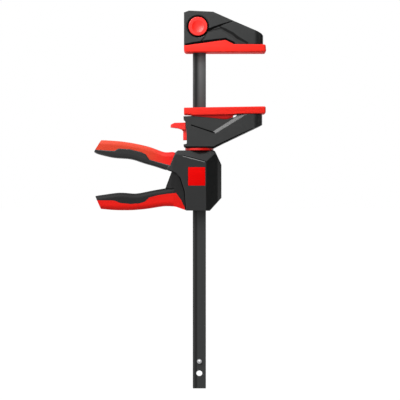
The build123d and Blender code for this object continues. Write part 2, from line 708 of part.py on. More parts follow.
pz = pivot_z
root_outline = [
    (-45.2, bf + 29.8), (-36.8, hz - 28.1), (-30.4, hz - 30.6), (-19.0, hz - 33.0), (-18.0, hz - 36.4),
    (-6.0, hz - 49.5), (4.5, bf + 12.3), (-3.0, bf + 8.0), (-9.0, bf + 5.7), (-17.6, bf + 4.2),
    (-18.3, bf + 0.9), (-30.4, bf + 5.2), (-34.0, bf + 5.8), (-34.0, bf + 29.8),
]
root_plan = [
    (-50.0, -10.5), (-37.0, -trigger_half), (10.0, -trigger_half),
    (10.0, trigger_half), (-37.0, trigger_half), (-50.0, 10.5),
]
pocket = [(-20.2, hz - 20), (-20.2, hz - 50), (-23.0, bf + 13), (-23.0, bf - 12), (20, bf - 12), (20, hz - 20)]
arm_outline = [
    (pivot_x, pz + pivot_boss), (fork_x, pz + fork_tip), (fork_x - 2.5, pz - 1.8), (pivot_x + 4.0, pz - 1.8),
]
neck_outline = [(pivot_x - pivot_boss, pz), (pivot_x + pivot_boss, pz), (-19.0, hz - 33.2), (-33.0, hz - 28.6)]
fork_room = [(-17.1, pz - 4.6), (-17.1, pz + 8), (20, pz + 8), (20, pz - 4.6)]

with BuildPart() as trigger_root:
    extrude(outline(root_outline), amount=trigger_half, both=True)
    with BuildSketch(Plane.XY.offset(barrel_foot - 5)):
        Polygon(*root_plan, align=None)
    extrude(amount=barrel_height, mode=Mode.INTERSECT)
    add(lever_skin)

with BuildPart() as trigger:
    add(trigger_root.part)
    slot_cut(lever_red, 2 * barrel_half)
    add(lever_core)
    slot_cut(pocket, cheek_in)
    # fork that bears on the thrust ring, and the pivot boss
    extrude(discs([(pivot_x, pivot_z)], pivot_boss, 0), amount=trigger_half, both=True)
    extrude(discs([(fork_x, pivot_z)], fork_tip, 0), amount=trigger_half, both=True)
    extrude(outline(arm_outline), amount=trigger_half, both=True)
    extrude(outline(neck_outline), amount=trigger_half, both=True)
    slot_cut(fork_room, fork_in)
    extrude(discs([(pivot_x, pivot_z)], pivot_radius + run_gap, 0), amount=30, both=True, mode=Mode.SUBTRACT)
save(trigger, "trigger")

with BuildPart() as trigger_grip:
    add(trigger_root.part)
    extrude(outline(lever_red), amount=2 * barrel_half, both=True, mode=Mode.INTERSECT)
    add(lever_core, mode=Mode.SUBTRACT)
    slot_cut(pocket, cheek_in)
save(trigger_grip, "trigger_grip")

# ================= drive =================

with BuildPart() as drive_carrier:
    with BuildSketch(Plane.XY.offset(plates_top)):
        Circle(drive_radius)
    extrude(amount=flange_thick)
    with BuildSketch(Plane.XY.offset(flange_top)):
        Circle(ring_bore - run_gap)
    extrude(amount=ring_thick)
    # two end posts and a lower lip hold the plates under the flange
    with BuildSketch(Plane.XY.offset(carrier_foot)):
        Circle(drive_radius)
        Rectangle(plate_length + 2 * run_gap, 40, mode=Mode.SUBTRACT)
    extrude(amount=plates_top - carrier_foot)
    with BuildSketch(Plane.XY.offset(carrier_foot)):
        Circle(drive_radius)
    extrude(amount=lip_thick)
    rail_passage(carrier_foot - 1, ring_top + 1)
save(drive_carrier, "drive_carrier")

with BuildPart() as thrust_ring:
    with BuildSketch(Plane.XY.offset(flange_top)):
        Circle(drive_radius)
        Circle(ring_bore, mode=Mode.SUBTRACT)
    extrude(amount=ring_thick)
save(thrust_ring, "thrust_ring")

with BuildPart() as drive_plates:
    for level in range(2):
        with BuildSketch(Plane.XY.offset(plates_top - (level + 1) * plate_pitch + plate_gap / 2)):
            Rectangle(plate_length, plate_depth)
            Rectangle(rail_width + 4 * run_gap, rail_thick + 4 * run_gap, mode=Mode.SUBTRACT)
        extrude(amount=plate_thick)
save(drive_plates, "drive_plates")

drive_spring = coil(spring_inner, spring_wire, (0, 0, seat_top), (0, 0, 1), carrier_foot - seat_top, 6)
save(drive_spring, "drive_spring")
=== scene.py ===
# %% [markdown]
# A one-hand bar clamp, dressed around its CAD frame.
# The frame holds every solid in metres, with +Z up the bar, +X on the throat side and -Y at the front.
# Everything below rides on that frame, so the clamp still works when its joints move.

# %% Load the frame
import math
import bpy
import numpy as np
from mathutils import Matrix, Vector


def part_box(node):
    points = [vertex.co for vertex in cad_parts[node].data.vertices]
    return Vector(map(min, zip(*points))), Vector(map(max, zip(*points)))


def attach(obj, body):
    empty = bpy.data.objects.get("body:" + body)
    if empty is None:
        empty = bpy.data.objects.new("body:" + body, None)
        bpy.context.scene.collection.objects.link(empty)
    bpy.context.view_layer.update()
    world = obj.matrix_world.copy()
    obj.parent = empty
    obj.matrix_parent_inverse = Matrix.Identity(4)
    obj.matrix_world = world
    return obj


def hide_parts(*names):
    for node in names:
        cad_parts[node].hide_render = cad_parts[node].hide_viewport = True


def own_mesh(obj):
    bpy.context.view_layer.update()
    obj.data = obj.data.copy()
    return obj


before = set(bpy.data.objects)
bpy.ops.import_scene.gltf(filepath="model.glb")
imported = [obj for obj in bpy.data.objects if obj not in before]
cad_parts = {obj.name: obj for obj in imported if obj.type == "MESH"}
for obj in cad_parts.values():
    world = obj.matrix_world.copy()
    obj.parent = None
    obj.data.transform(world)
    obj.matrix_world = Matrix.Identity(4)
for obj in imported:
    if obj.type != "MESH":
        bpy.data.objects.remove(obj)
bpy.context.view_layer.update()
MM = 0.001
print("nodes in the frame:", len(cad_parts))

# %% [markdown]
# The camera comes first, because every later choice is judged through it.
# The clamp is seen straight from the front by a long lens about two metres away, so the bar keeps parallel
# edges and only the thick housing and the jaw faces show a little perspective.

# %% Camera
SENSOR_MM, LENS_MM = 36.0, 138.6
CAMERA_MM = (0.88, -2058.4, 231.5)
camera_data = bpy.data.cameras.new("long_lens")
camera_data.sensor_width = SENSOR_MM
camera_data.lens = LENS_MM
camera_data.clip_end = 100.0
camera = bpy.data.objects.new("long_lens", camera_data)
camera.location = [value * MM for value in CAMERA_MM]
camera.rotation_euler = (math.radians(90), 0, 0)
bpy.context.collection.objects.link(camera)
bpy.context.scene.camera = camera
bpy.context.scene.view_settings.view_transform = "Standard"
print("camera in front of the bar, m:", round(-camera.location.y, 3))

# %% [markdown]
# Every finish is a node tree, and one small function adds a node: its kind, its settings, and what feeds it.
# Colours are written as the hex values a painter's chart would give and turned to linear light once.

# %% Node and colour helpers
def linear(hex_code):
    """sRGB hex to linear: c/12.92 below 0.04045, else ((c+0.055)/1.055)^2.4."""
    channels = [int(hex_code[i:i + 2], 16) / 255 for i in (1, 3, 5)]
    return [c / 12.92 if c <= 0.04045 else ((c + 0.055) / 1.055) ** 2.4 for c in channels] + [1.0]


def node(tree, kind, inputs=(), **settings):
    """Add a node, set its properties, then set or link each named input."""
    made = tree.nodes.new(kind)
    for key, value in settings.items():
        setattr(made, key, value)
    for key, value in dict(inputs).items():
        socket = made.inputs[key]
        if isinstance(value, bpy.types.NodeSocket):
            tree.links.new(value, socket)
        else:
            socket.default_value = value
    return made


def new_material(name):
    """A node material with only its output, and the object coordinates its patterns read."""
    material = bpy.data.materials.new(name)
    material.use_nodes = True
    tree = material.node_tree
    tree.nodes.clear()
    output = node(tree, "ShaderNodeOutputMaterial")
    where = node(tree, "ShaderNodeTexCoord").outputs["Object"]
    return material, tree, output, where


# %% [markdown]
# The jaws and the housing are glass-filled nylon from a spark-eroded mould: black, with a fine pebbled grain
# that scatters the highlight, and faint cloudiness where the glass fibres lie near the skin.
# Such a black is nearly all reflection, so the base colour is very dark and the sheen does the drawing.
# Moulded edges are never knife sharp. The big shells have a round on every edge, and a Bevel node bends the
# shading over that distance, which costs no faces on the CAD mesh.
# A real pebble is about a tenth of a millimetre across, too fine to show, so it is drawn near one millimetre.

# %% Moulded plastics
CLOUD_MM = 18
PEBBLE_STRENGTH = 0.5
SMOOTHER, DULLER = 0.05, 0.07  # how far grain takes a roughness below and above its plain value


def moulded(name, colour, cloud, rough, grain_mm, relief_mm, ior=1.5, round_mm=0.0, root=None):
    """Moulded skin: colour varied by slow noise, roughness by the grain, bump from the same grain.
    A round above zero softens the shading of every edge over that distance.
    A root (colour, start X, end X in mm) blends the skin to a deeper colour along a grip."""
    material, tree, output, where = new_material(name)
    slow = node(tree, "ShaderNodeTexNoise", {
        "Vector": where, "Scale": 1 / (CLOUD_MM * MM), "Detail": 3.0})
    tint = node(tree, "ShaderNodeMix", {
        "Factor": slow.outputs["Fac"], "A": linear(colour), "B": linear(cloud)}, data_type="RGBA")
    grain = node(tree, "ShaderNodeTexNoise", {
        "Vector": where, "Scale": 1 / (grain_mm * MM), "Detail": 2.0})
    spread = node(tree, "ShaderNodeMapRange", {
        "Value": grain.outputs["Fac"], "To Min": rough - SMOOTHER, "To Max": rough + DULLER})
    bump = node(tree, "ShaderNodeBump", {
        "Height": grain.outputs["Fac"], "Distance": relief_mm * MM, "Strength": PEBBLE_STRENGTH})
    if round_mm:
        soft_edge = node(tree, "ShaderNodeBevel", {"Radius": round_mm * MM}, samples=8)
        tree.links.new(soft_edge.outputs["Normal"], bump.inputs["Normal"])
    shade = tint.outputs["Result"]
    if root:
        deep, start_mm, end_mm = root
        axes = node(tree, "ShaderNodeSeparateXYZ", {"Vector": where})
        share = node(tree, "ShaderNodeMapRange", {
            "Value": axes.outputs["X"], "From Min": start_mm * MM, "From Max": end_mm * MM},
            interpolation_type="SMOOTHSTEP")
        blend = node(tree, "ShaderNodeMix", {
            "Factor": share.outputs["Result"], "A": shade, "B": linear(deep)}, data_type="RGBA")
        shade = blend.outputs["Result"]
    skin = node(tree, "ShaderNodeBsdfPrincipled", {
        "Base Color": shade, "Roughness": spread.outputs["Result"], "IOR": ior,
        "Normal": bump.outputs["Normal"]})
    tree.links.new(skin.outputs["BSDF"], output.inputs["Surface"])
    return material


# name, colour, cloud, roughness, grain mm, relief mm, index, edge round mm
black_nylon = moulded("black_glass_filled_nylon", "#111212", "#181919", 0.34, 0.9, 0.02, 1.43, 2.0)
handle_nylon = moulded("black_nylon_coarse_grain", "#161616", "#1c1c1c", 0.58, 1.1, 0.05, 1.29)
red_nylon = moulded("red_moulded_nylon", "#f01c12", "#f42418", 0.36, 0.8, 0.02, 1.52)
collar_red = moulded("dark_red_nylon", "#d0120c", "#d81810", 0.36, 0.8, 0.02, 1.42)
badge_red = moulded("red_printed_polycarbonate", "#e60201", "#ea0302", 0.42, 1.2, 0.01, 1.15)
# The jaws' nylon is a lighter copy of the housing's: painted light, for the light that falls on the jaws.
jaw_nylon_painted_lighter = moulded("black_nylon_painted_lighter_on_jaws", "#202121", "#282929", 0.34, 0.9, 0.02, 1.43, 0.8)
# Painted shade: a near-black, matt strip laid where seams, grooves and gaps hold shadow.
painted_shade_black = moulded("painted_shade_matt_black", "#040404", "#060606", 0.85, 0.8, 0.02, 1.12)
# Painted highlight: a light grey for the line where an edge catches the light.
highlight_painted_nylon = moulded("painted_highlight_grey_nylon", "#747474", "#7c7c7c", 0.30, 0.9, 0.01, 1.5)
# Painted shade: a dark grey for the shadow along the fixed jaw's fold.
painted_fold_shade = moulded("painted_shade_fold_nylon", "#1c1c1c", "#202020", 0.85, 0.8, 0.02, 1.12)
print("housing skin:", black_nylon.name, "- jaw skin:", jaw_nylon_painted_lighter.name)

# %% [markdown]
# The jaw pads and the grip covers are a soft thermoplastic elastomer moulded over the nylon. It is more matt
# than the nylon, and its bloom keeps it from mirroring anything at a low angle, so its index is set low.
# The top grip has a painted sheen that makes it paler towards its free end, and it keeps its deeper red near
# the housing. The keel under the moving pad is a deeper red that is painted shade, and the trigger's grip is
# a deeper red.

# %% Soft elastomer
pad_elastomer = moulded("red_pad_elastomer", "#ec2013", "#f22819", 0.52, 0.7, 0.03, 1.33)
# The keel's deeper red is painted shade, the shadow under the pad's overhang.
keel_shade_elastomer = moulded("pad_elastomer_painted_shade", "#a80604", "#b40a06", 0.55, 0.7, 0.03, 1.30)
# Painted sheen: the pale #d23a20 stands for the light the top grip reflects towards its free end; #e01006 is
# the deeper red near the housing.
grip_elastomer = moulded("red_soft_touch_elastomer", "#d23a20", "#d84225", 0.50, 0.7, 0.03, 1.30,
                         root=("#e01006", -76.0, -38.0))
lever_elastomer = moulded("deep_red_soft_touch_elastomer", "#de1208", "#e4170c", 0.55, 0.7, 0.03, 1.24)
print("pads:", pad_elastomer.name, "- grips:", grip_elastomer.name, "and", lever_elastomer.name)

# %% [markdown]
# The bar is rolled steel under black lacquer, a soft grey over most of its width. A darker lane near its left
# edge is painted shade. In the throat, the crown of the bar and its left edge carry a painted highlight,
# lighter still.

# %% Lacquered bar
THROAT_MM = (330, 400)  # Z where the painted highlight begins and where it is full
CROWN_MM = (-3.2, 1.4, 9.0)  # X where the crown's painted highlight begins, is full and has faded
EDGE_MM = (-7.6, -6.4)  # X where the left edge's painted highlight begins to go and is gone
SCUFF_MM, PEEL_MM, PEEL_RELIEF_MM = 0.8, 2.2, 0.02
SHARP_LANE_MM = 0.8  # half the width of the lane before it begins to blend


def bar_lacquer(name, lane, body_tone, highlight_tone, rough, lane_x_mm, lane_mm):
    """Lacquer on the bar. The distance from the painted shade lane's X turns the lane tone into the body
    tone, times scuffs drawn out along Z. Up the throat a painted highlight comes in: it rises across the
    crown, falls towards the right edge, and stands again at the left edge. Orange peel lies 2.2 mm apart."""
    material, tree, output, where = new_material(name)
    axes = node(tree, "ShaderNodeSeparateXYZ", {"Vector": where})
    across, up = axes.outputs["X"], axes.outputs["Z"]
    offset = node(tree, "ShaderNodeMath", {0: across, 1: -lane_x_mm * MM}, operation="ADD")
    away = node(tree, "ShaderNodeMath", {0: offset.outputs[0]}, operation="ABSOLUTE")
    blend = node(tree, "ShaderNodeMapRange", {
        "Value": away.outputs[0], "From Min": SHARP_LANE_MM * MM, "From Max": lane_mm * MM},
        interpolation_type="SMOOTHSTEP")
    stretch = node(tree, "ShaderNodeMapping", {"Vector": where, "Scale": (1.0, 1.0, 0.03)})
    scuff = node(tree, "ShaderNodeTexNoise", {
        "Vector": stretch.outputs["Vector"], "Scale": 1 / (SCUFF_MM * MM), "Detail": 3.0})
    wear = node(tree, "ShaderNodeMapRange", {
        "Value": scuff.outputs["Fac"], "To Min": 0.85, "To Max": 1.08})
    share = node(tree, "ShaderNodeMath", {
        0: blend.outputs["Result"], 1: wear.outputs["Result"]}, operation="MULTIPLY")
    tint = node(tree, "ShaderNodeMix", {
        "Factor": share.outputs[0], "A": linear(lane), "B": linear(body_tone)}, data_type="RGBA")
    throat = node(tree, "ShaderNodeMapRange", {
        "Value": up, "From Min": THROAT_MM[0] * MM, "From Max": THROAT_MM[1] * MM, "To Max": 0.75})
    rise = node(tree, "ShaderNodeMapRange", {
        "Value": across, "From Min": CROWN_MM[0] * MM, "From Max": CROWN_MM[1] * MM},
        interpolation_type="SMOOTHSTEP")
    fall = node(tree, "ShaderNodeMapRange", {
        "Value": across, "From Min": CROWN_MM[1] * MM, "From Max": CROWN_MM[2] * MM,
        "To Min": 1.0, "To Max": 0.25})
    edge = node(tree, "ShaderNodeMapRange", {
        "Value": across, "From Min": EDGE_MM[0] * MM, "From Max": EDGE_MM[1] * MM,
        "To Min": 0.9, "To Max": 0.0})
    crown = node(tree, "ShaderNodeMath", {
        0: rise.outputs["Result"], 1: fall.outputs["Result"]}, operation="MULTIPLY")
    highlight_across = node(tree, "ShaderNodeMath", {
        0: crown.outputs[0], 1: edge.outputs["Result"]}, operation="MAXIMUM")
    highlight_share = node(tree, "ShaderNodeMath", {
        0: throat.outputs["Result"], 1: highlight_across.outputs[0]}, operation="MULTIPLY")
    shine = node(tree, "ShaderNodeMix", {
        "Factor": highlight_share.outputs[0], "A": tint.outputs["Result"], "B": linear(highlight_tone)},
        data_type="RGBA")
    peel = node(tree, "ShaderNodeTexNoise", {
        "Vector": where, "Scale": 1 / (PEEL_MM * MM), "Detail": 2.0})
    spread = node(tree, "ShaderNodeMapRange", {
        "Value": peel.outputs["Fac"], "To Min": rough - SMOOTHER, "To Max": rough + DULLER})
    bump = node(tree, "ShaderNodeBump", {
        "Height": peel.outputs["Fac"], "Distance": PEEL_RELIEF_MM * MM, "Strength": 0.4})
    skin = node(tree, "ShaderNodeBsdfPrincipled", {
        "Base Color": shine.outputs["Result"], "Roughness": spread.outputs["Result"], "IOR": 1.32,
        "Normal": bump.outputs["Normal"]})
    tree.links.new(skin.outputs["BSDF"], output.inputs["Surface"])
    return material


# Painted shade and highlight: #161616 is the dark lane, #666666 the light in the throat; #353636 is the
# lacquer's own grey.
black_lacquer = bar_lacquer("black_lacquer_with_painted_highlight", "#161616", "#353636", "#666666", 0.36, -4.5, 2.4)
print("bar finish:", black_lacquer.name)

# %% [markdown]
# The brake and drive plates are stamped and bare, the springs are oiled wire, the screws are zinc plated and
# the drive's carrier is die cast. Bare metal has no colour but its reflection, so one function makes all
# four: the colour is the reflection's tint, and drawn-out grain breaks up the gloss.
# Real rolling and drawing marks are finer than the half millimetre used here, which is what it takes to show.

# %% Bare metals
METAL_GRAIN_MM = 0.5


def bare_metal(name, colour, rough):
    """Bare metal: fully metallic, with roughness from grain drawn out along Z."""
    material, tree, output, where = new_material(name)
    stretch = node(tree, "ShaderNodeMapping", {"Vector": where, "Scale": (1.0, 1.0, 0.08)})
    grain = node(tree, "ShaderNodeTexNoise", {
        "Vector": stretch.outputs["Vector"], "Scale": 1 / (METAL_GRAIN_MM * MM), "Detail": 2.0})
    spread = node(tree, "ShaderNodeMapRange", {
        "Value": grain.outputs["Fac"], "To Min": rough - 0.08, "To Max": rough + 0.1})
    skin = node(tree, "ShaderNodeBsdfPrincipled", {
        "Base Color": linear(colour), "Metallic": 1.0, "Roughness": spread.outputs["Result"]})
    tree.links.new(skin.outputs["BSDF"], output.inputs["Surface"])
    return material


stamped_steel = bare_metal("stamped_steel", "#b9babc", 0.34)
spring_wire = bare_metal("oiled_spring_wire", "#8d8e92", 0.28)
zinc_plate = bare_metal("zinc_plated_steel", "#c2c4c6", 0.30)
cast_zinc = bare_metal("die_cast_zinc", "#a9abae", 0.48)
print("metals:", stamped_steel.name, spring_wire.name, zinc_plate.name, cast_zinc.name)

# %% [markdown]
# A CAD solid whose shape is right stays as it is and only gets its finish. One table says which finish each
# of the thirty nodes is made in, so a change of material is a change of one word.

# %% Give every CAD node its finish
finishes = {
    "rail": black_lacquer, "stop_pin": stamped_steel, "fixed_jaw": jaw_nylon_painted_lighter,
    "fixed_jaw_pad": pad_elastomer, "lock_cover": jaw_nylon_painted_lighter, "lock_button": red_nylon,
    "lock_frame": stamped_steel, "lock_pin": stamped_steel, "lock_spring": spring_wire,
    "slider_jaw": jaw_nylon_painted_lighter, "slider_jaw_pad": pad_elastomer, "swivel_collar": collar_red,
    "collar_screws": zinc_plate, "brake_plate": stamped_steel, "release_lever": red_nylon,
    "brake_spring": spring_wire, "front_shell": black_nylon, "back_shell": black_nylon,
    "front_grip_cover": grip_elastomer, "back_grip_cover": grip_elastomer,
    "housing_screws": zinc_plate, "badge_plate": badge_red, "trigger_pin": stamped_steel,
    "spring_seat": zinc_plate, "trigger": handle_nylon, "trigger_grip": lever_elastomer,
    "drive_carrier": cast_zinc, "thrust_ring": stamped_steel, "drive_plates": stamped_steel,
    "drive_spring": spring_wire,
}
for name, finish in finishes.items():
    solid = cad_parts[name]
    solid.data.materials.clear()
    solid.data.materials.append(finish)
print("CAD nodes dressed:", len(finishes))

# %% [markdown]
# New pieces are grids of points. A closed form is a stack of rings: each ring is the same number of points,
# each neighbour pair is joined by quads, and the first and last ring are filled.

# %% Mesh from rings
def rings_to_piece(name, rings, finish, body, looped=False, sharp_deg=32):
    """Quads join ring i to ring i+1 and point j to j+1, the last point to the first. The end rings become one
    flat face each, or join each other in a looped form. The divergence theorem gives the volume, and a
    negative one turns every face round."""
    count, around = rings.shape[:2]
    index = np.arange(count * around).reshape(count, around)
    index = np.vstack([index, index[:1]]) if looped else index
    right = np.roll(index, -1, axis=1)
    quads = np.stack([index[:-1], right[:-1], right[1:], index[1:]], axis=-1).reshape(-1, 4)
    points = rings.reshape(-1, 3) * MM
    caps = [] if looped else [index[0][::-1], index[-1]]
    corners = points[quads]
    volume = np.einsum("ij,ij->", corners[:, 0], np.cross(corners[:, 1], corners[:, 2]))
    volume += np.einsum("ij,ij->", corners[:, 0], np.cross(corners[:, 2], corners[:, 3]))
    for cap in caps:
        fan = points[cap]
        volume += np.einsum("j,ij->", fan[0], np.cross(fan[1:-1], fan[2:]))
    step = 1 if volume > 0 else -1
    faces = quads[:, ::step].tolist() + [cap[::step].tolist() for cap in caps]
    mesh = bpy.data.meshes.new(name)
    mesh.from_pydata(points.tolist(), [], faces)
    smooth = np.arange(len(faces)) < len(quads)
    mesh.polygons.foreach_set("use_smooth", smooth)
    mesh.set_sharp_from_angle(angle=math.radians(sharp_deg))
    mesh.materials.append(finish)
    piece = bpy.data.objects.new(name, mesh)
    bpy.context.collection.objects.link(piece)
    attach(piece, body)
    print(name, "faces:", len(faces), "volume cm3:", round(abs(volume) / 6 * 1e6, 3))
    return piece


# %% [markdown]
# A slab begins as its outline. Corners are eased with a short curve, and the outline is then drawn in a
# little, ring by ring, to turn the edge over. That gives a moulded slab a round that follows every corner,
# and the round may grow where the real part is softer.

# %% Slabs with soft edges
def rounded_outline(corners, steps=6):
    """Each corner (x, z, r) becomes a quadratic Bezier from r before it to r after it, with the corner as its
    handle."""
    spot = np.array(corners, float)
    here, reach = spot[:, :2], spot[:, 2:3]
    back = np.roll(here, 1, axis=0) - here
    ahead = np.roll(here, -1, axis=0) - here
    start = here + back / np.linalg.norm(back, axis=1, keepdims=True) * reach
    end = here + ahead / np.linalg.norm(ahead, axis=1, keepdims=True) * reach
    t = np.linspace(0, 1, steps)[None, :, None]
    curve = (1 - t) ** 2 * start[:, None] + 2 * t * (1 - t) * here[:, None] + t ** 2 * end[:, None]
    return curve.reshape(-1, 2)


def inward(outline):
    """Unit normals into an outline: the turned average of the edges before and after each point."""
    before = outline - np.roll(outline, 1, axis=0)
    after = np.roll(outline, -1, axis=0) - outline
    along = before / np.maximum(np.linalg.norm(before, axis=1, keepdims=True), 1e-9)
    along += after / np.maximum(np.linalg.norm(after, axis=1, keepdims=True), 1e-9)
    along /= np.linalg.norm(along, axis=1, keepdims=True)
    x, z = outline.T
    area = np.sum(x * np.roll(z, -1) - np.roll(x, -1) * z)
    return np.stack([-along[:, 1], along[:, 0]], axis=1) * np.sign(area)


def slab_rings(outline, front, back, radius, steps=5):
    """Rings of a slab whose edge is a quarter circle at each face: at angle a the ring stands
    radius*(1 - sin a) in from its face and the outline is drawn in by radius*(1 - cos a). The radius may
    differ along the outline."""
    radius = np.broadcast_to(radius, len(outline)).astype(float)
    turn = np.linspace(math.pi / 2, 0, steps)[:, None]
    inset = radius * (1 - np.cos(turn))
    depth = radius * (1 - np.sin(turn))
    inset = np.concatenate([inset, inset[::-1]])
    level = np.concatenate([front + depth, back - depth[::-1]])
    flat = outline[None] + inset[..., None] * inward(outline)[None]
    return np.stack([flat[..., 0], level, flat[..., 1]], axis=-1)


# %% [markdown]
# The jaw pads are the parts that touch the work. Each is one thick slab of elastomer with a full soft edge,
# rounder still at its free end, and a fork at its heel that lets it slip past the bar. The slab comes from
# the rings, and the fork is cut from it with a plain box. The moving pad also has a narrower keel that sinks
# into the jaw, in a deeper red that is painted shade.

# %% Jaw pads
PAD_HALF, KEEL_HALF = 16.5, 14.0
EDGE_RADIUS = 0.9
FORK_HALF, FORK_END = 3.55, 9.05


def cut_box(piece, low, high):
    """Subtract a box from a piece and keep the result as its mesh."""
    x, y, z = [np.array(pair) * MM for pair in zip(low, high)]
    grid = np.stack(np.meshgrid(x, y, z, indexing="ij"), axis=-1).reshape(-1, 3)
    sides = [(0, 1, 3, 2), (4, 6, 7, 5), (0, 4, 5, 1), (2, 3, 7, 6), (0, 2, 6, 4), (1, 5, 7, 3)]
    box_mesh = bpy.data.meshes.new("fork_cutter")
    box_mesh.from_pydata(grid.tolist(), [], sides)
    box = bpy.data.objects.new("fork_cutter", box_mesh)
    bpy.context.collection.objects.link(box)
    cutter = piece.modifiers.new("fork", "BOOLEAN")
    cutter.object = box
    cutter.operation = "DIFFERENCE"
    cutter.solver = "EXACT"
    view = bpy.context.evaluated_depsgraph_get()
    result = bpy.data.meshes.new_from_object(piece.evaluated_get(view))
    piece.modifiers.clear()
    piece.data = result
    bpy.data.objects.remove(box)
    result.set_sharp_from_angle(angle=math.radians(32))


def jaw_pad(name, corners, node_name, body, half, finish, tip_radius=2.0):
    """A slab whose edge radius grows to the tip radius over the last 5 mm of its free end, along the smooth
    step n*n*(3 - 2n), forked at the heel."""
    low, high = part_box(node_name)
    outline = rounded_outline(corners)
    nose = np.clip((outline[:, 0] - (high[0] / MM - 5)) / 4, 0, 1)
    radius = EDGE_RADIUS + (tip_radius - EDGE_RADIUS) * nose * nose * (3 - 2 * nose)
    piece = rings_to_piece(name, slab_rings(outline, -half, half, radius), finish, body)
    cut_box(piece, (low[0] / MM - 2, -FORK_HALF, low[2] / MM - 2), (FORK_END, FORK_HALF, high[2] / MM + 2))
    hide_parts(node_name)


jaw_pad("fixed_pad_skin", [
    (-20.45, 436.4, 1.0), (34.7, 443.8, 1.2), (46.0, 438.2, 1.2), (88.0, 438.15, 2.4), (88.75, 428.0, 2.4),
    (-17.9, 428.0, 1.2), (-20.45, 430.2, 1.0),
], "fixed_jaw_pad", "bar", PAD_HALF, pad_elastomer)
jaw_pad("moving_pad_skin", [
    (-20.45, 354.1, 1.0), (88.15, 355.9, 2.4), (88.15, 346.3, 2.4), (51.2, 346.0, 1.0), (45.6, 345.2, 1.0),
    (-9.1, 344.2, 1.0), (-11.5, 345.2, 1.0), (-20.45, 345.5, 1.0),
], "slider_jaw_pad", "slider", PAD_HALF, pad_elastomer)
jaw_pad("moving_pad_keel", [
    (-9.1, 347.2, 1.0), (45.6, 347.2, 1.0), (45.6, 344.2, 1.0), (44.4, 341.1, 1.0), (35.3, 338.6, 1.4),
    (-8.8, 343.2, 1.0),
], "slider_jaw_pad", "slider", KEEL_HALF, keel_shade_elastomer, EDGE_RADIUS)

# %% [markdown]
# Moulds meet in parting lines, and a step between two shells always holds a shadow. On black plastic these
# lines are what the eye reads, so each gets a strip of painted shade: a thin matt black strip that lies in
# the groove or in the corner. A strip is a small rectangle carried along its line in the XZ plane, wide in a
# deep corner and thin where the step runs out.

# %% Painted shade in the grooves and seams of the jaws
FRONT, BACK = (-1, "front"), (1, "back")


def strip_rings(line, width, front, back):
    """At each point of a line the four corners are the point plus and minus half the width along the normal,
    at the front and at the back."""
    line = np.array(line, float)
    along = np.gradient(line, axis=0)
    along /= np.linalg.norm(along, axis=1, keepdims=True)
    half = np.broadcast_to(width, len(line))[:, None] / 2
    side = np.stack([-along[:, 1], along[:, 0]], axis=1) * half
    flat = np.stack([line + side, line + side, line - side, line - side], axis=1)
    level = np.broadcast_to(np.array([front, back, back, front], float), flat.shape[:2])
    return np.stack([flat[..., 0], level, flat[..., 1]], axis=-1)


def painted_strip(name, line, face, depth, body, finish=painted_shade_black, sides=(FRONT, BACK)):
    """A line of points (x, z, width) becomes the same strip on each listed side of the clamp. The face is its
    distance from the middle plane and the depth its thickness inwards."""
    line = np.array(line)
    for side, word in sides:
        rings = strip_rings(line[:, :2], line[:, 2], side * face, side * (face - depth))
        rings_to_piece(f"{name}_{word}", rings, finish, body)


# The jaws' sides stand 15 mm from the middle plane, and each strip's face lies just proud of them.
painted_strip("fixed_jaw_groove_shade", [
    (11.2, 457.2, 3.4), (20.0, 460.7, 3.0), (30.0, 464.4, 2.4), (43.8, 469.0, 1.3),
], 15.05, 0.9, "bar")
painted_strip("fixed_pad_seam_shade", [
    (-18.8, 437.9, 2.0), (-8.0, 439.7, 3.0), (8.0, 442.0, 3.0), (24.0, 444.1, 3.0), (34.6, 445.6, 2.4),
    (46.8, 439.9, 2.2),
], 15.1, 0.5, "bar")
# Painted shade, in dark grey, along the edge of the fixed jaw's recess.
painted_strip("fixed_jaw_fold_shade", [
    (27.0, 461.4, 1.6), (34.0, 458.0, 3.0), (44.0, 452.6, 3.4), (50.8, 447.0, 3.6), (64.5, 439.6, 2.6),
], 15.08, 2.2, "bar", painted_fold_shade)
painted_strip("slider_groove_shade", [
    (-11.2, 331.1, 1.5), (5.0, 325.8, 1.5), (20.2, 320.7, 1.7),
], 15.05, 0.9, "slider")

# %% [markdown]
# The slider's lower edge turns under and goes dark, and a strip of painted shade stands for it. The shade is
# set on the front only, because on the back it would run over the heads of the two collar screws, and it
# stops where the jaw's nose begins to round. On the housing a strip of painted shade follows the edge of the
# shell beside the trigger, and each shoulder has a painted step: a line of painted shade with a painted
# highlight under it, where the edge would catch the light.

# %% Painted shade and highlight on the slider's foot and the housing
painted_strip("slider_foot_shade", [
    (-19.0, 301.7, 2.0), (0.0, 301.7, 2.0), (19.0, 301.7, 2.0), (27.8, 306.2, 1.6), (50.0, 316.7, 1.4),
    (70.6, 326.6, 0.6),
], 15.05, 0.9, "slider", sides=(FRONT,))
painted_strip("housing_seam_shade", [
    (-27.6, 263.0, 0.6), (-25.4, 260.4, 1.3), (-22.6, 251.5, 1.3), (-20.0, 243.0, 1.3), (-18.6, 230.0, 1.3),
    (-18.3, 219.2, 1.0),
], 19.2, 2.4, "handle")
painted_strip("shoulder_step_shade", [
    (-22.4, 290.8, 0.6), (-8.0, 287.1, 0.9), (9.0, 282.7, 0.6),
], 19.52, 0.5, "handle")
painted_strip("shoulder_glint", [
    (-22.4, 289.7, 0.7), (-8.0, 285.9, 1.3), (7.0, 282.0, 0.7),
], 19.56, 0.5, "handle", highlight_painted_nylon)

# %% [markdown]
# The lock button slides in a well, and the gap round it is always in shadow. A flat ring of painted shade,
# turned about the button's axis, closes that gap with black.

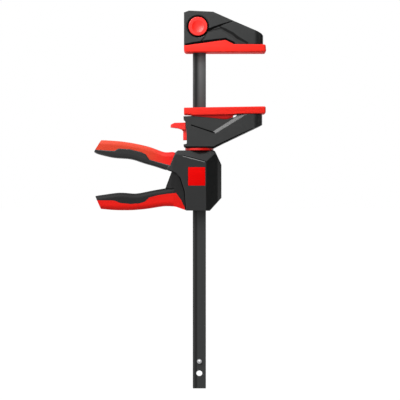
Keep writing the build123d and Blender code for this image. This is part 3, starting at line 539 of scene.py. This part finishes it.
# %% Shadow round the button
BUTTON_X, BUTTON_Z = -1.8, 462.0
RING_POINTS = 64
turn = np.linspace(0, 2 * math.pi, RING_POINTS, endpoint=False)[:, None]
radius, level = np.array([(12.65, -13.55), (12.65, -13.9), (14.5, -13.9), (14.5, -13.55)]).T
well = np.stack([BUTTON_X + radius * np.cos(turn), np.broadcast_to(level, (RING_POINTS, len(level))),
                 BUTTON_Z + radius * np.sin(turn)], axis=-1)
rings_to_piece("button_well_shadow", well, painted_shade_black, "bar", looped=True)

# %% [markdown]
# Three coil springs do the clamp's thinking: one lifts the lock button, one tips the brake plate, and one
# returns the drive. Each is round wire wound with closed ends: the rise per turn starts low, grows to the
# pitch and falls back.

# %% Springs
TURN_POINTS, WIRE_POINTS = 28, 10
CLOSED_PITCH, CLOSED_TURNS = 0.25, 0.4


def coil(name, node_name, body, axis, mean_radius, wire, turns, anchor_high):
    """Along angle t the wire's centre is radius*(cos t, sin t), and its rise is the integral of a pitch that
    is smooth from the closed ends to the free turns. Ten points round the wire close each ring."""
    low, high = (np.array(corner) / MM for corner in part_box(node_name))
    centre, span = (low + high) / 2, high[axis] - low[axis] - 2 * wire
    t = np.linspace(0, 2 * math.pi * turns, int(TURN_POINTS * turns))
    share = t / t[-1]
    from_end = np.minimum(share, 1 - share) * turns
    pitch = CLOSED_PITCH + np.clip(from_end - CLOSED_TURNS, 0, 0.5) * 2
    rise = np.concatenate([[0], np.cumsum((pitch[1:] + pitch[:-1]) / 2)])
    rise = rise / rise[-1] * span + low[axis] + wire
    first, second = [k for k in range(3) if k != axis]
    path = np.zeros((len(t), 3))
    path[:, first] = centre[first] + mean_radius * np.cos(t)
    path[:, second] = centre[second] + mean_radius * np.sin(t)
    path[:, axis] = rise
    out = np.zeros_like(path)
    out[:, first], out[:, second] = np.cos(t), np.sin(t)
    along = np.gradient(path, axis=0)
    along /= np.linalg.norm(along, axis=1, keepdims=True)
    lift = np.cross(out, along)
    angle = np.linspace(0, 2 * math.pi, WIRE_POINTS, endpoint=False)[None, :, None]
    rings = path[:, None] + wire * (np.cos(angle) * out[:, None] + np.sin(angle) * lift[:, None])
    piece = rings_to_piece(name, rings, spring_wire, body)
    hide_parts(node_name)
    direction, anchor = np.zeros(3), centre.copy()
    direction[axis] = 1
    anchor[axis] = high[axis] if anchor_high else low[axis]
    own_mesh(piece)


Y_AXIS, Z_AXIS = 1, 2
coil("drive_coil", "drive_spring", "drive", Z_AXIS, mean_radius=10.4, wire=0.8, turns=6.5,
     anchor_high=True)
coil("brake_coil", "brake_spring", "slider", Z_AXIS, mean_radius=1.65, wire=0.35, turns=7.0,
     anchor_high=False)
coil("lock_coil", "lock_spring", "lock", Y_AXIS, mean_radius=5.7, wire=0.5, turns=4.5,
     anchor_high=False)

# %% [markdown]
# The housing is held by pan-head screws from the back, and the collar by two more. A head is a profile turned
# about the screw's axis, and the cross recess is a dip in its crown: the depth is full where the point lies
# within half a slot's width of either diagonal, and fades to nothing at the slot's end.

# %% Screws
CROWN_RADIUS, CROWN_DROP = 2.6, 0.28
SLOT_HALF, SLOT_REACH, SLOT_DEPTH = 0.62, 2.0, 0.75


def cross_screws(name, spots, node_name, body, head_front, head_back, shank_front):
    """Rings from the shank's tip out to the head's rim and in over its crown, with the cross pressed in."""
    profile = np.array([
        (0.02, shank_front), (1.1, shank_front), (1.5, shank_front + 0.5), (1.5, head_front),
        (2.45, head_front), (2.7, head_front + 0.2), (2.75, head_back - 0.5)])
    crown = np.linspace(CROWN_RADIUS, 0.02, 14)
    dome = head_back - CROWN_DROP * (crown / CROWN_RADIUS) ** 2
    on_crown = (np.arange(len(profile) + len(crown)) >= len(profile))[:, None]
    profile = np.vstack([profile, np.stack([crown, dome], axis=1)])
    around = np.linspace(0, 2 * math.pi, 48, endpoint=False)
    x, z = profile[:, :1] * np.cos(around), profile[:, :1] * np.sin(around)
    a, b = np.abs(x + z) / math.sqrt(2), np.abs(x - z) / math.sqrt(2)
    slot = np.clip((SLOT_HALF - np.minimum(a, b)) / 0.3, 0, 1)
    slot = slot * np.clip((SLOT_REACH - np.maximum(a, b)) / 0.5, 0, 1)
    y = profile[:, 1:] - SLOT_DEPTH * slot * on_crown
    for number, (cx, cz) in enumerate(spots, 1):
        rings = np.stack([x + cx, y, z + cz], axis=-1)
        piece = rings_to_piece(f"{name}_{number}", rings, zinc_plate, body, sharp_deg=40)
        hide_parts(node_name)


cross_screws("housing_screw", [(23.0, 272.3), (23.0, 239.7), (-26.0, 288.7), (-98.0, 293.9)],
             "housing_screws", "handle", head_front=8.0, head_back=10.0, shank_front=-9.0)
cross_screws("collar_screw", [(-11.3, 303.8), (12.9, 303.8)],
             "collar_screws", "slider", head_front=13.4, head_back=15.0, shank_front=5.0)

# %% [markdown]
# The badge is a plain printed plate, bare on this clamp: a thin slab with softened corners and a small bevel.

# %% Badge plate
BADGE_CORNER, BADGE_BEVEL = 0.7, 0.25
low, high = (np.array(corner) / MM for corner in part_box("badge_plate"))
badge_outline = rounded_outline([
    (x, z, BADGE_CORNER) for x, z in
    ((low[0], low[2]), (high[0], low[2]), (high[0], high[2]), (low[0], high[2]))])
badge_rings = slab_rings(badge_outline, low[1], high[1], BADGE_BEVEL, 4)
badge = rings_to_piece("badge_plate_skin", badge_rings, badge_red, "handle")
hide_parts("badge_plate")

# %% [markdown]
# The studio is lit as for a catalogue of black tools. One large soft box stands high on the left and draws
# the forms. A soft box overhead and a strip far on the left open the edges, a small strip near the clamp
# grazes the housing's shoulders, and a narrow spot lifts the fixed jaw, which is furthest from the key.

# %% Lamps
def turned(obj, place, aim):
    """Put an object at a place with its -Z axis towards the aim."""
    heading = np.array(aim, float) - np.array(place, float)
    flat = math.hypot(heading[0], heading[1])
    obj.location = place
    obj.rotation_euler = (
        math.atan2(flat, -heading[2]), 0, math.atan2(heading[1], heading[0]) - math.pi / 2)
    bpy.context.collection.objects.link(obj)


def lamp(name, place, aim, width, height, watts):
    """A rectangular soft box turned from its place to its aim, all in metres and watts."""
    data = bpy.data.lights.new(name, "AREA")
    data.shape = "RECTANGLE"
    data.size = width
    data.size_y = height
    data.energy = watts
    turned(bpy.data.objects.new(name, data), place, aim)


lamp("key_softbox", (-0.75, -1.15, 1.15), (0, 0, 0.35), 0.9, 0.9, 14.6)
snoot = bpy.data.lights.new("jaw_snoot", "SPOT")
snoot.energy = 13
snoot.spot_size = math.radians(13)
snoot.spot_blend = 1.0
snoot.shadow_soft_size = 0.08
turned(bpy.data.objects.new("jaw_snoot", snoot), (-0.45, -1.3, 1.0), (0.02, 0, 0.465))
lamp("shoulder_strip", (-0.22, -0.5, 0.98), (0, 0, 0.3), 0.4, 0.25, 3.6)
lamp("top_softbox", (0.1, 0.3, 1.8), (0, 0, 0.3), 1.2, 0.8, 8)
lamp("left_strip", (-1.6, 0.2, 0.4), (0, 0, 0.25), 0.5, 1.6, 6)
print("lamps:", len(bpy.data.lights))

# %% [markdown]
# The sweep behind and below is white. It is white only for rays that see it directly, in a reflection or
# through glass: all other rays get a plain half level from the world and a mid-grey paper from the floor,
# so the background adds no glare to the plastic. A tenth of the paper's own shading is left in, and that
# keeps the clamp's shadow on it.

# %% White sweep
def seen_as_background(tree):
    """One for a camera, glossy or transmission ray and zero for any other: the highest of the three."""
    rays = node(tree, "ShaderNodeLightPath")
    seen = node(tree, "ShaderNodeMath", {
        0: rays.outputs["Is Camera Ray"], 1: rays.outputs["Is Glossy Ray"]}, operation="MAXIMUM")
    return node(tree, "ShaderNodeMath", {
        0: seen.outputs[0], 1: rays.outputs["Is Transmission Ray"]}, operation="MAXIMUM").outputs[0]


def flat_sheet(name, finish, half_x, half_y, height=0.0):
    """A rectangle in the XY plane at a height, used as floor or card."""
    mesh = bpy.data.meshes.new(name)
    corners = [(-half_x, -half_y, height), (half_x, -half_y, height), (half_x, half_y, height),
               (-half_x, half_y, height)]
    mesh.from_pydata(corners, [], [(0, 1, 2, 3)])
    mesh.materials.append(finish)
    return bpy.data.objects.new(name, mesh)


world = bpy.data.worlds.new("white_studio")
bpy.context.scene.world = world
world.use_nodes = True
sky = world.node_tree
sky.nodes.clear()
level = node(sky, "ShaderNodeMapRange", {"Value": seen_as_background(sky), "To Min": 0.5, "To Max": 1.0})
glow = node(sky, "ShaderNodeBackground", {"Color": (1, 1, 1, 1), "Strength": level.outputs["Result"]})
node(sky, "ShaderNodeOutputWorld", {"Surface": glow.outputs["Background"]})

FLOOR_HALF, FLOOR_Z = 40.0, -21 * MM
paper, tree, output, _ = new_material("white_paper")
matte = node(tree, "ShaderNodeBsdfDiffuse", {"Color": linear("#b4b4b4")})
white = node(tree, "ShaderNodeEmission", {"Strength": 1.10})
share = node(tree, "ShaderNodeMath", {0: seen_as_background(tree), 1: 0.9}, operation="MULTIPLY")
mix = node(tree, "ShaderNodeMixShader", {0: share.outputs[0], 1: matte.outputs[0], 2: white.outputs[0]})
tree.links.new(mix.outputs[0], output.inputs["Surface"])
floor = flat_sheet("floor", paper, FLOOR_HALF, FLOOR_HALF, FLOOR_Z)
bpy.context.collection.objects.link(floor)
print("floor at Z, mm:", round(FLOOR_Z / MM, 1))

# %% [markdown]
# In so much white, black plastic would wash out. Three black cards give it something dark to mirror, one at
# the front right for the housing's turned facet, one high on the right for the jaw's nose, and one low
# behind for the undersides. The camera doesn't see them.

# %% Black cards
felt, tree, output, _ = new_material("black_felt")
nap = node(tree, "ShaderNodeBsdfDiffuse", {"Color": linear("#070707")})
tree.links.new(nap.outputs[0], output.inputs["Surface"])
card_places = {
    "front_black_card": (0.58, -0.62, 0.3),
    "side_black_card": (0.85, 0.2, 1.11),
    "rear_black_card": (0.03, 0.75, -0.56),
}
for name, place in card_places.items():
    card = flat_sheet(name, felt, 0.42, 0.8)
    turned(card, place, (0, 0, place[2]))
    card.visible_camera = False
print("cards:", len(card_places))
